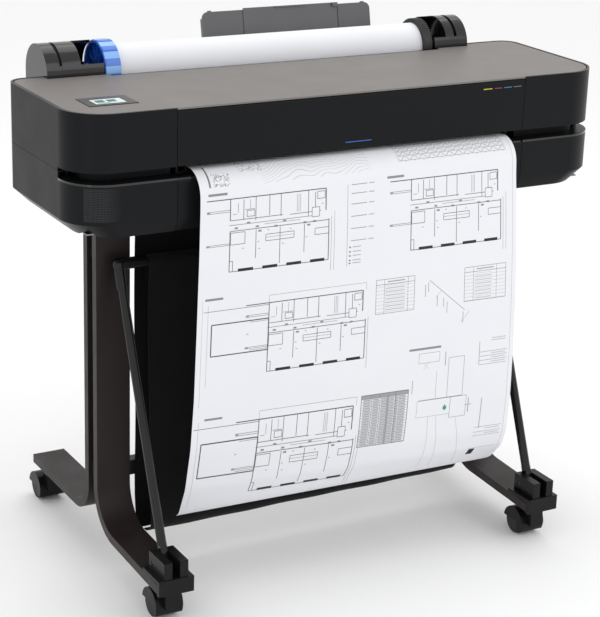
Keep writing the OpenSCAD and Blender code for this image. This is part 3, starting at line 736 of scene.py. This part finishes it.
# %% The floor plan
plan_group, p_in, p_out = new_group(
    "floor_plan", [("X", "Float"), ("Y", "Float"), ("Court", "Float")], [("Ink", "Float")]
)
plan = Pen(plan_group, p_in["X"], p_in["Y"])
plan.level(0, -42, 176, 1.2, 0.85).level(123, 0, 182, 1.0, 0.7)
plan.upright(0, 0, 36, 1.1, 0.85).upright(0, 54, 123, 1.1, 0.85)
plan.upright(182, 52, 123, 1.1, 0.85).upright(176, 0, 37, 1.3, 0.9)
plan.level(36, 0, 96, 0.9, 0.7).level(37, 108, 150, 0.9, 0.6)
plan.level(44, -2, 150, 0.8, 0.55).level(48, 62, 128, 0.7, 0.4).level(54, 0, 182, 1.0, 0.65)
for x, y0, y1 in ((24, 3, 36), (46, 0, 40), (71, 0, 34), (92, 0, 38), (143, 0, 44), (156, 4, 30)):
    plan.upright(x, y0, y1, 0.9, 0.7)
for x in (122, 125, 128):
    plan.upright(x, 4, 34, 0.6, 0.5)
for x in (47, 91, 136):
    plan.upright(x, 56, 104 if x != 91 else 118, 0.9, 0.7)
plan.frame(1, 57, 27, 77).frame(65, 66, 117, 77).frame(156, 66, 182, 77)
plan.level(71, 65, 117, 0.6, 0.4).level(20, 26, 44, 0.7, 0.6).upright(36, 4, 20, 0.6, 0.5)
plan.frame(160, 4, 174, 16).frame(150, 30, 164, 46).frame(0, 105, 6, 123)
plan.frame(30, 22, 44, 32).upright(14, 8, 24, 0.7, 0.5).level(26, 4, 12, 0.7, 0.5)
for y in (18, 21, 74.5, 77):
    plan.level(y, -42, 0, 0.7, 0.55)
plan.box(-42, 18, -36, 21, 0.6).box(-42, 74.5, -36, 77, 0.6)
plan.upright(187, 48, 142, 0.6, 0.4).upright(193, 40, 142, 0.6, 0.35)
for x, y in ((8, 48), (30, 41), (46, 49), (51, 57), (80, 52), (96, 45), (134, 52), (141, 57), (152, 52)):
    plan.box(x, y, x + 6, y + 3.2, 0.7)
for x, y in ((22, 84), (50, 76), (52, 88), (95, 84), (139, 78), (68, 58), (109, 60), (164, 36), (168, 24)):
    plan.box(x, y, x + 3, y + 1.6, 0.6)
windows = calc(plan_group, "MODULO", calc(plan_group, "ADD", p_in["X"], 1000 * 44 - 16), 44.0)
dashes = Pen(plan_group, windows, p_in["Y"]).box(0, 119, 27.5, 124.2)
within = calc(plan_group, "COMPARE", p_in["X"], 95.0, 80.0)
plan.ink = calc(plan_group, "MAXIMUM", plan.ink, calc(plan_group, "MULTIPLY", dashes.ink, within))
court = Pen(plan_group, p_in["X"], p_in["Y"]).frame(-103, 27, 0, 83, 1.5, 0.85)
court.level(-13, 0, 182, 0.6, 0.35).level(30, -34, 0, 0.7, 0.5).level(80, -34, 0, 0.7, 0.5)
court.upright(-110, -8, 138, 0.5, 0.25).level(3, -118, 0, 0.8, 0.6)
court.box(-40, 50, -36, 51.5, 0.6).upright(182, -13, 0, 0.6, 0.3).upright(0, -13, 0, 0.6, 0.3)
court_ink = calc(plan_group, "MULTIPLY", court.ink, p_in["Court"])
join(plan_group, calc(plan_group, "MAXIMUM", plan.ink, court_ink), p_out["Ink"])
print("floor plan:", len(plan_group.nodes), "nodes")

# %% [markdown]
# The rest of the sheet is a legend, three tables, a pipe sketch, a site plan and contour lines.
# They are drawn the same way. Words are only short grey bars: at this size a real label is no more
# than that, and no text belongs on the model.

# %% Tables, legend and site plan
extras_group, e_in, e_out = new_group(
    "sheet_details", [("U", "Float"), ("V", "Float")], [("Ink", "Float"), ("Green", "Float")]
)
details = Pen(extras_group, e_in["U"], e_in["V"])
for x0, x1, y in ((14, 48, 60), (347, 380, 64), (13, 45, 237), (21, 53, 453), (400, 463, 377)):
    details.box(x0, y, x1, y + 4, 0.7)
details.upright(271, 70, 211, 0.6, 0.45)
for y in (71, 86, 104, 125, 146, 167):
    details.level(y, 278, 308, 0.9, 0.5).box(312, y - 1, 322, y + 0.8, 0.5)
for y in (178, 186, 193, 201, 206):
    details.box(275, y - 1, 278.5, y + 1.5, 0.8).box(282, y - 0.8, 298, y + 0.8, 0.5)
for x0, x1, y0, columns in ((330, 405, 243, (346, 392)), (505, 589, 241, (523, 570))):
    details.frame(x0, y0, x1, y0 + 61, 0.7, 0.5).level(y0 + 9, x0, x1, 0.7, 0.5)
    details.box(columns[0] + 6, y0 + 3.6, columns[1] - 6, y0 + 5.6, 0.6)
    for x in columns:
        details.upright(x, y0, y0 + 61, 0.6, 0.45)
row = calc(extras_group, "MODULO", e_in["V"], 6.4)
ruled = Pen(extras_group, e_in["U"], row).box(330, 0, 405, 0.6, 0.45).box(505, 0, 589, 0.6, 0.45)
ruled.box(348, 2.4, 386, 4.2, 0.42).box(526, 2.4, 560, 4.2, 0.36)
rows_here = calc(extras_group, "COMPARE", e_in["V"], 278.0, 25.0)
details.ink = calc(
    extras_group, "MAXIMUM", details.ink, calc(extras_group, "MULTIPLY", ruled.ink, rows_here)
)
dense_row = calc(extras_group, "MODULO", e_in["V"], 5.1)
dense = Pen(extras_group, e_in["U"], dense_row).box(313, 0, 402, 0.9, 0.75)
for x0, x1 in ((316, 330), (334, 346), (350, 361), (366, 376), (384, 398)):
    dense.box(x0, 1.6, x1, 4.4, 0.55)
dense.box(361, 0, 365, 5.2, 0.55).box(377, 0, 383, 5.2, 0.45)
dense_here = calc(extras_group, "COMPARE", e_in["V"], 504.0, 48.0)
details.ink = calc(
    extras_group, "MAXIMUM", details.ink, calc(extras_group, "MULTIPLY", dense.ink, dense_here)
)
details.frame(312, 452, 403, 553, 0.9, 0.7).box(312, 452, 403, 459, 0.6)
for x in (332, 348, 365, 378):
    details.upright(x, 452, 553, 0.7, 0.6)
details.frame(480, 402, 511, 478, 0.7, 0.4).frame(422, 478, 488, 510, 0.6, 0.3)
details.frame(488, 478, 520, 518, 0.7, 0.4).level(477, 424, 510, 0.9, 0.45)
details.frame(420, 388, 461, 406, 0.6, 0.35).upright(473, 390, 416, 1.0, 0.5)
details.upright(457, 424, 478, 0.6, 0.3).upright(410, 436, 462, 1.0, 0.35)
details.upright(525, 484, 512, 1.2, 0.45).level(497, 518, 532, 0.8, 0.4)
details.upright(552, 488, 548, 1.2, 0.35).box(544, 596, 556, 615, 1.0)
for y in (400, 408, 416, 424, 546, 556, 564, 594):
    details.level(y, 542, 597, 0.7, 0.4)
for y in (376, 380, 404, 412, 420, 550, 560):
    details.box(565, y - 0.8, 594, y + 0.8, 0.4)
details.upright(541, 380, 424, 0.8, 0.5).upright(602, 20, 620, 0.5, 0.25).upright(9, 240, 430, 0.5, 0.2)
details.box(17, 6, 20, 50, 0.8)
steep = details.slanted(1.16)
steep.box(435 - 1.16 * 255 - 0.7, 255, 435 - 1.16 * 255 + 0.7, 317, 0.75)
details.take(steep)
RISERS = (
    (427, 262, 284), (433, 258, 276), (451, 284, 304), (464, 290, 306), (471, 298, 318), (504, 320, 340),
)
for x, y0, y1 in RISERS:
    details.upright(x, y0, y1, 0.8, 0.5)
back_slope = details.slanted(-0.9)
back_slope.box(452 + 0.9 * 284 - 0.5, 276, 452 + 0.9 * 284 + 0.5, 288, 0.5)
back_slope.box(506 + 0.9 * 332 - 0.5, 320, 506 + 0.9 * 332 + 0.5, 338, 0.6)
details.take(back_slope)
KERBS = (
    (0.05, 446, 510, 636), (0.12, 462, 512, 636), (0.2, 502, 520, 636),
    (-0.7, 440, 404, 418), (0.9, 428, 404, 418),
)
for lean, x, y0, y1 in KERBS:
    line = details.slanted(lean)
    line.box(x - lean * y0 - 0.5, y0, x - lean * y0 + 0.5, y1, 0.35)
    details.take(line)
join(extras_group, details.ink, e_out["Ink"])
tree_mark = Pen(extras_group, e_in["U"], e_in["V"]).box(474, 494, 481, 500, 1.0).box(476, 491, 479, 502, 1.0)
join(extras_group, tree_mark.ink, e_out["Green"])
print("sheet details:", len(extras_group.nodes), "nodes")

# %% [markdown]
# Four offsets bring each quarter's plan to its own origin. The hatched band and the contours at the
# top are made from waves, which repeat by themselves.

# %% The drawn paper
drawn = finish_recipe(
    "drawn_paper", linear(229, 230, 234), linear(225, 226, 231), (0.55, 0.66), 2500, 0.00003
)
tree = drawn.node_tree
uv_axes = add_node(
    tree, "ShaderNodeSeparateXYZ", {"Vector": tree.nodes.new("ShaderNodeTexCoord").outputs["UV"]}
)
u_mm = calc(tree, "MULTIPLY", uv_axes.outputs["X"], 1000.0)
v_mm = calc(tree, "MULTIPLY", uv_axes.outputs["Y"], 1000.0)
TOP_ROW_END, LOW_ROW_START, RIGHT_HALF = 218.0, 425.0, 330.0
TOP_PLAN, MIDDLE_PLAN, LOW_PLAN = (53.5, 71.5), (129.0, 257.0), (121.0, 468.0)
RIGHT_PLAN_STEP = (341.5, 2.5)
LOW_PLAN_STRETCH = 0.24
top_half = calc(tree, "LESS_THAN", v_mm, TOP_ROW_END)
low_half = calc(tree, "GREATER_THAN", v_mm, LOW_ROW_START)
right_side = calc(tree, "GREATER_THAN", u_mm, RIGHT_HALF)
top_right = calc(tree, "MULTIPLY", right_side, top_half)
middle = calc(tree, "SUBTRACT", calc(tree, "SUBTRACT", 1.0, top_half), low_half)
plan_start = []
for k in (0, 1):
    start = calc(tree, "MULTIPLY", low_half, LOW_PLAN[k])
    start = calc(tree, "MULTIPLY_ADD", middle, MIDDLE_PLAN[k], start)
    start = calc(tree, "MULTIPLY_ADD", top_half, TOP_PLAN[k], start)
    plan_start.append(calc(tree, "MULTIPLY_ADD", top_right, RIGHT_PLAN_STEP[k], start))
stretch = calc(tree, "MULTIPLY_ADD", low_half, LOW_PLAN_STRETCH, 1.0)
plan_x = calc(tree, "SUBTRACT", u_mm, plan_start[0])
plan_y = calc(tree, "DIVIDE", calc(tree, "SUBTRACT", v_mm, plan_start[1]), stretch)
plan_node = add_node(tree, "ShaderNodeGroup", node_tree=plan_group)
join(tree, plan_x, plan_node.inputs["X"])
join(tree, plan_y, plan_node.inputs["Y"])
join(tree, calc(tree, "SUBTRACT", 1.0, top_half), plan_node.inputs["Court"])
plan_area = calc(tree, "LESS_THAN", plan_x, 196.0)
away_from_tables = calc(
    tree, "MAXIMUM", top_half, calc(tree, "LESS_THAN", u_mm, 318.0)
)
plan_ink = calc(tree, "MULTIPLY", plan_node.outputs["Ink"], plan_area)
plan_ink = calc(tree, "MULTIPLY", plan_ink, away_from_tables)
plan_ink = calc(tree, "MULTIPLY", plan_ink, calc(tree, "GREATER_THAN", v_mm, 60.0))
details_node = add_node(tree, "ShaderNodeGroup", node_tree=extras_group)
join(tree, u_mm, details_node.inputs["U"])
join(tree, v_mm, details_node.inputs["V"])
bend = add_node(tree, "ShaderNodeTexNoise", {"Scale": 9.0})
join(tree, tree.nodes["Texture Coordinate"].outputs["UV"], bend.inputs["Vector"])
contour = calc(tree, "MULTIPLY_ADD", bend.outputs["Fac"], 90.0, calc(tree, "MULTIPLY_ADD", u_mm, 0.22, v_mm))
contour = calc(tree, "COMPARE", calc(tree, "MODULO", contour, 6.0), 3.0, 0.3)
contour_area = Pen(tree, u_mm, v_mm).box(112, 2, 316, 52, 0.42)
contour = calc(tree, "MULTIPLY", contour, contour_area.ink)
zigzag = calc(tree, "PINGPONG", u_mm, 9.0)
hatch = calc(tree, "COMPARE", calc(tree, "MODULO", calc(tree, "ADD", v_mm, zigzag), 9.0), 4.5, 0.8)
hatch = calc(tree, "MAXIMUM", hatch, calc(tree, "COMPARE", calc(tree, "MODULO", v_mm, 9.0), 4.5, 0.5))
hatch_area = Pen(tree, u_mm, v_mm).box(372, -5, 592, 42, 0.5)
hatch = calc(tree, "MULTIPLY", hatch, hatch_area.ink)
tangle = add_node(tree, "ShaderNodeTexNoise", {"Scale": 130.0})
join(tree, tree.nodes["Texture Coordinate"].outputs["UV"], tangle.inputs["Vector"])
twigs = calc(tree, "COMPARE", tangle.outputs["Fac"], 0.5, 0.03)
twig_area = Pen(tree, u_mm, v_mm).box(25, 26, 56, 50, 0.6).box(76, 0, 118, 28, 0.5)
twigs = calc(tree, "MULTIPLY", twigs, twig_area.ink)
ink = calc(tree, "MAXIMUM", plan_ink, details_node.outputs["Ink"])
for more in (contour, hatch, twigs):
    ink = calc(tree, "MAXIMUM", ink, more)
paint_over(drawn, ink, linear(18, 18, 20))
paint_over(drawn, details_node.outputs["Green"], linear(40, 150, 105))
hanging.data.materials.clear()
hanging.data.materials.append(drawn)
feeding.data.materials.append(finishes["paper"])
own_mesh(hanging)
print("drawn paper:", len(tree.nodes), "nodes beside the two groups")

# %% [markdown]
# ## The basket's fabric
# The basket is one length of black cloth. It is sewn round the front bar, falls to a soft fold near
# the feet and rises behind to the cross bar. Cloth that carries only its own weight shows slow
# vertical ripples and edges that wander by a few millimetres, so both are put in. Here the cloth
# is two panels: the front stays where it is made, and the rear rides on the printer.

# %% Woven cloth
THREADS_PER_M = 450
cloth = finish_recipe(
    "basket_cloth", linear(12, 12, 14), linear(8, 8, 10), (0.82, 0.92), 700, 0.00005, specular=0.08
)
tree = cloth.node_tree
shader = tree.nodes["Principled BSDF"]
weave_node = add_node(tree, "ShaderNodeGroup", node_tree=weave_group)
join(tree, tree.nodes.new("ShaderNodeTexCoord").outputs["UV"], weave_node.inputs["Vector"])
weave_node.inputs["Threads"].default_value = 2 * math.pi * THREADS_PER_M
woven = add_node(tree, "ShaderNodeBump", {"Height": weave_node.outputs["Height"]})
woven.inputs["Distance"].default_value = 0.00035
join(tree, shader.inputs["Normal"].links[0].from_socket, woven.inputs["Normal"])
join(tree, woven.outputs["Normal"], shader.inputs["Normal"])
# Painted highlight: the raised crowns of the threads are painted paler, as light would make them.
thread_crown_highlight = calc(tree, "MULTIPLY", weave_node.outputs["Height"], weave_node.outputs["Tone"])
paint_over(cloth, thread_crown_highlight, linear(22, 22, 25))
shader.inputs["Sheen Weight"].default_value = 0.06
shader.inputs["Sheen Roughness"].default_value = 0.6
print("cloth ready")


# %% Panels of the basket
def hem_and_ripples(depth):
    """Slow vertical ripples that grow towards the fold, and side edges that wander."""

    def move(across, down, x, side):
        grow = np.clip(down * 1.6, 0, 1)
        wave = np.sin(across * 31 + 1.3) * 0.6 + np.sin(across * 12.4 + down * 2) * 0.4
        side = side.copy()
        side[:, 0] += depth * wave * grow
        edge = np.abs(across - 0.5) * 2
        x = x + np.sign(across - 0.5) * edge**6 * 1.2 * np.sin(down * 9 + np.sign(across - 0.5))
        return x, side

    return move


BAR_Y, BAR_Z, WRAP_R = -67.0, 564.0, 9.4
FRONT_W, REAR_W, CLOTH_T = 640, 652, 1.1
wrap = [
    (BAR_Y + WRAP_R * math.cos(a), BAR_Z + WRAP_R * math.sin(a))
    for a in (math.radians(10 + 17 * k) for k in range(11))
]
fold = [
    (-66 + 27 * math.cos(a), 92 + 27 * math.sin(a)) for a in (math.radians(172 + 12 * k) for k in range(10))
]
front_path = smooth_path(
    [(BAR_Y + 3, BAR_Z - 30), (BAR_Y + 8, BAR_Z - 12)]
    + wrap
    + [(-76.5, 480), (-78.5, 320), (-83, 200), (-91, 130)]
    + fold,
    4,
)
FRONT_L = walk(front_path, 0.0)[1]
front_cloth = hang_sheet(
    "basket_front_cloth", front_path, front_path, FRONT_W, FRONT_L, 64, 120, CLOTH_T,
    hem_and_ripples(1.6),
)
rear_path = smooth_path(
    [(-31.4, 651), (-31.4, 400), (-31.6, 160), (-33.6, 120), (-37.6, 90), (-44, 71), (-54, 64.2)], 8
)
REAR_L = walk(rear_path, 0.0)[1]
rear_cloth = hang_sheet(
    "basket_rear_cloth", rear_path, rear_path, REAR_W, REAR_L, 64, 110, CLOTH_T,
    hem_and_ripples(-0.9),
)
for panel, part, body in (
    (front_cloth, "basket_front_fabric", None),
    (rear_cloth, "basket_rear_fabric", "printer"),
):
    panel.data.materials.append(cloth)
    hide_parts(part)
    if body:
        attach(panel, body)
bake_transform(front_cloth)
print("cloth lengths", round(FRONT_L), round(REAR_L), "mm")

# %% [markdown]
# ## Marks, light and screen
# The small coloured things that make the front readable: four printed dashes for the ink colours
# on the door, the status light in its recess, and what the screen shows. Each is a plate with its
# corners rounded in plan, a few tenths of a millimetre proud.


# %% Small rounded plates
def plate(name, low_mm, high_mm, corner_mm, body, material, axis="z"):
    """A thin plate whose corners are rounded in the plane across axis."""
    low_v, high_v = Vector(low_mm) * MM, Vector(high_mm) * MM
    bpy.ops.object.select_all(action="DESELECT")
    bpy.ops.mesh.primitive_cube_add(size=1, location=(low_v + high_v) / 2)
    obj = bpy.context.object
    obj.name = name
    obj.scale = high_v - low_v
    bpy.ops.object.transform_apply(location=True, rotation=True, scale=True)
    bpy.ops.object.mode_set(mode="EDIT")
    edit_mesh = bmesh.from_edit_mesh(obj.data)
    k = "xyz".index(axis)
    for edge in edit_mesh.edges:
        run = edge.verts[0].co - edge.verts[1].co
        edge.select_set(abs(run[k]) > 0.9 * run.length)
    bmesh.update_edit_mesh(obj.data)
    bpy.ops.mesh.bevel(offset=corner_mm * MM, segments=4, clamp_overlap=True)
    bpy.ops.object.mode_set(mode="OBJECT")
    thin = min(high_v - low_v)
    apply_modifier(obj, "edge", "BEVEL", width=thin * 0.3, segments=2, limit_method="ANGLE")
    pick(obj)
    bpy.ops.object.shade_smooth_by_angle(angle=math.radians(35))
    obj.data.materials.append(material)
    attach(obj, body)
    return obj


def coloured(name, colour, glow=0.0):
    material = finish_recipe(name, colour, tuple(c * 0.93 for c in colour[:3]) + (1,), (0.3, 0.4))
    if glow:
        shader = material.node_tree.nodes["Principled BSDF"]
        shader.inputs["Emission Color"].default_value = colour
        shader.inputs["Emission Strength"].default_value = glow
    return material


# %% Ink dashes and status light
DASHES = (
    ("yellow", 246, 264, linear(196, 176, 42)),
    ("magenta", 268.5, 284.5, linear(126, 30, 66)),
    ("cyan", 288.5, 305, linear(24, 118, 136)),
    ("grey", 308.5, 325, linear(92, 94, 98)),
)
# The printed dashes are also given a faint glow of 0.05, which is painted light: print gives off none.
for tone_name, x0, x1, colour in DASHES:
    plate(
        f"ink_dash_{tone_name}", (x0, -210.35, 840.2), (x1, -209.6, 841.8), 0.4, "door",
        coloured(f"dash_{tone_name}", colour, 0.05), "y",
    )
light_blue = coloured("status_glow", linear(34, 78, 150), 0.25)
plate(
    "status_light", (-25.4, -210.1, 772.2), (25.4, -209.2, 774.0), 0.8,
    "door", light_blue, "y",
)

# %% Screen tiles
teal = coloured("tile_teal", linear(58, 92, 96), 0.1)
sea = coloured("tile_sea", linear(60, 140, 135), 0.2)
SCREEN_TILES = (
    ("left_tile", (-436, -131), (-421, -117), teal),
    ("right_tile", (-416, -131), (-401, -117), teal),
    ("left_bar", (-436, -137.5), (-414, -135), sea),
)
for tile_name, (x0, y0), (x1, y1), material in SCREEN_TILES:
    plate(
        f"screen_{tile_name}", (x0, y0, 857.15), (x1, y1, 857.4), 1.0, "printer", material
    )
print("marks, light and screen ready")

# %% [markdown]
# ## The clear rim of the blue hub
# The hub that holds the roll has a flange of clear pale blue plastic round its ribbed face. A
# cylinder is bored by insetting its end, and short pads stand on it, as on the real rim.


# %% Clear rim
ROLL_Y, ROLL_Z = 0.118, 0.856
RIM_X, RIM_R, RIM_DEPTH = -0.3195, 0.0495, 0.0275
PADS = 12


def hub_rim():
    bpy.ops.object.select_all(action="DESELECT")
    bpy.ops.mesh.primitive_cylinder_add(
        vertices=96, radius=RIM_R, depth=RIM_DEPTH, end_fill_type="NGON",
        location=(RIM_X, ROLL_Y, ROLL_Z), rotation=(0, math.radians(90), 0),
    )
    obj = bpy.context.object
    obj.name = "hub_clear_rim"
    bpy.ops.object.transform_apply(location=True, rotation=True, scale=True)
    bpy.ops.object.mode_set(mode="EDIT")
    bpy.ops.mesh.select_mode(type="FACE")
    bpy.ops.mesh.select_all(action="DESELECT")
    edit_mesh = bmesh.from_edit_mesh(obj.data)
    for face in edit_mesh.faces:
        face.select_set(abs(face.normal.x) > 0.9)
    bmesh.update_edit_mesh(obj.data)
    bpy.ops.mesh.inset(thickness=0.0013)
    bpy.ops.mesh.bridge_edge_loops()
    bpy.ops.mesh.select_all(action="SELECT")
    bpy.ops.mesh.normals_make_consistent(inside=False)
    bpy.ops.mesh.select_all(action="DESELECT")
    edit_mesh = bmesh.from_edit_mesh(obj.data)
    edit_mesh.faces.ensure_lookup_table()
    for face in edit_mesh.faces:
        centre = face.calc_center_median()
        out = math.hypot(centre.y - ROLL_Y, centre.z - ROLL_Z)
        pad = math.atan2(centre.z - ROLL_Z, centre.y - ROLL_Y) / (2 * math.pi) * PADS
        face.select_set(out > RIM_R - 0.0003 and abs(face.normal.x) < 0.1 and (pad % 1.0) < 0.5)
    bmesh.update_edit_mesh(obj.data)
    bpy.ops.mesh.inset(thickness=0.0016, use_boundary=True)
    bpy.ops.mesh.extrude_region_shrink_fatten(TRANSFORM_OT_shrink_fatten={"value": 0.0006})
    bpy.ops.object.mode_set(mode="OBJECT")
    pick(obj)
    bpy.ops.object.shade_smooth_by_angle(angle=math.radians(30))
    return obj


rim = hub_rim()
rim_clear = finish_recipe(
    "clear_blue", linear(150, 196, 246), linear(120, 170, 236), (0.14, 0.22), 400, 0.00002
)
tree = rim_clear.node_tree
axes = object_axes(tree)
angle = calc(
    tree,
    "ARCTAN2",
    calc(tree, "SUBTRACT", axes["Z"], ROLL_Z),
    calc(tree, "SUBTRACT", axes["Y"], ROLL_Y),
)
pad_turn = calc(tree, "FRACT", calc(tree, "MULTIPLY", angle, PADS / (2 * math.pi)))
deep_band = calc(tree, "MULTIPLY", calc(tree, "LESS_THAN", pad_turn, 0.5), 0.85)
paint_over(rim_clear, deep_band, linear(52, 106, 206))
rim.data.materials.append(rim_clear)
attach(rim, "spindle")
print("rim faces", len(rim.data.polygons))
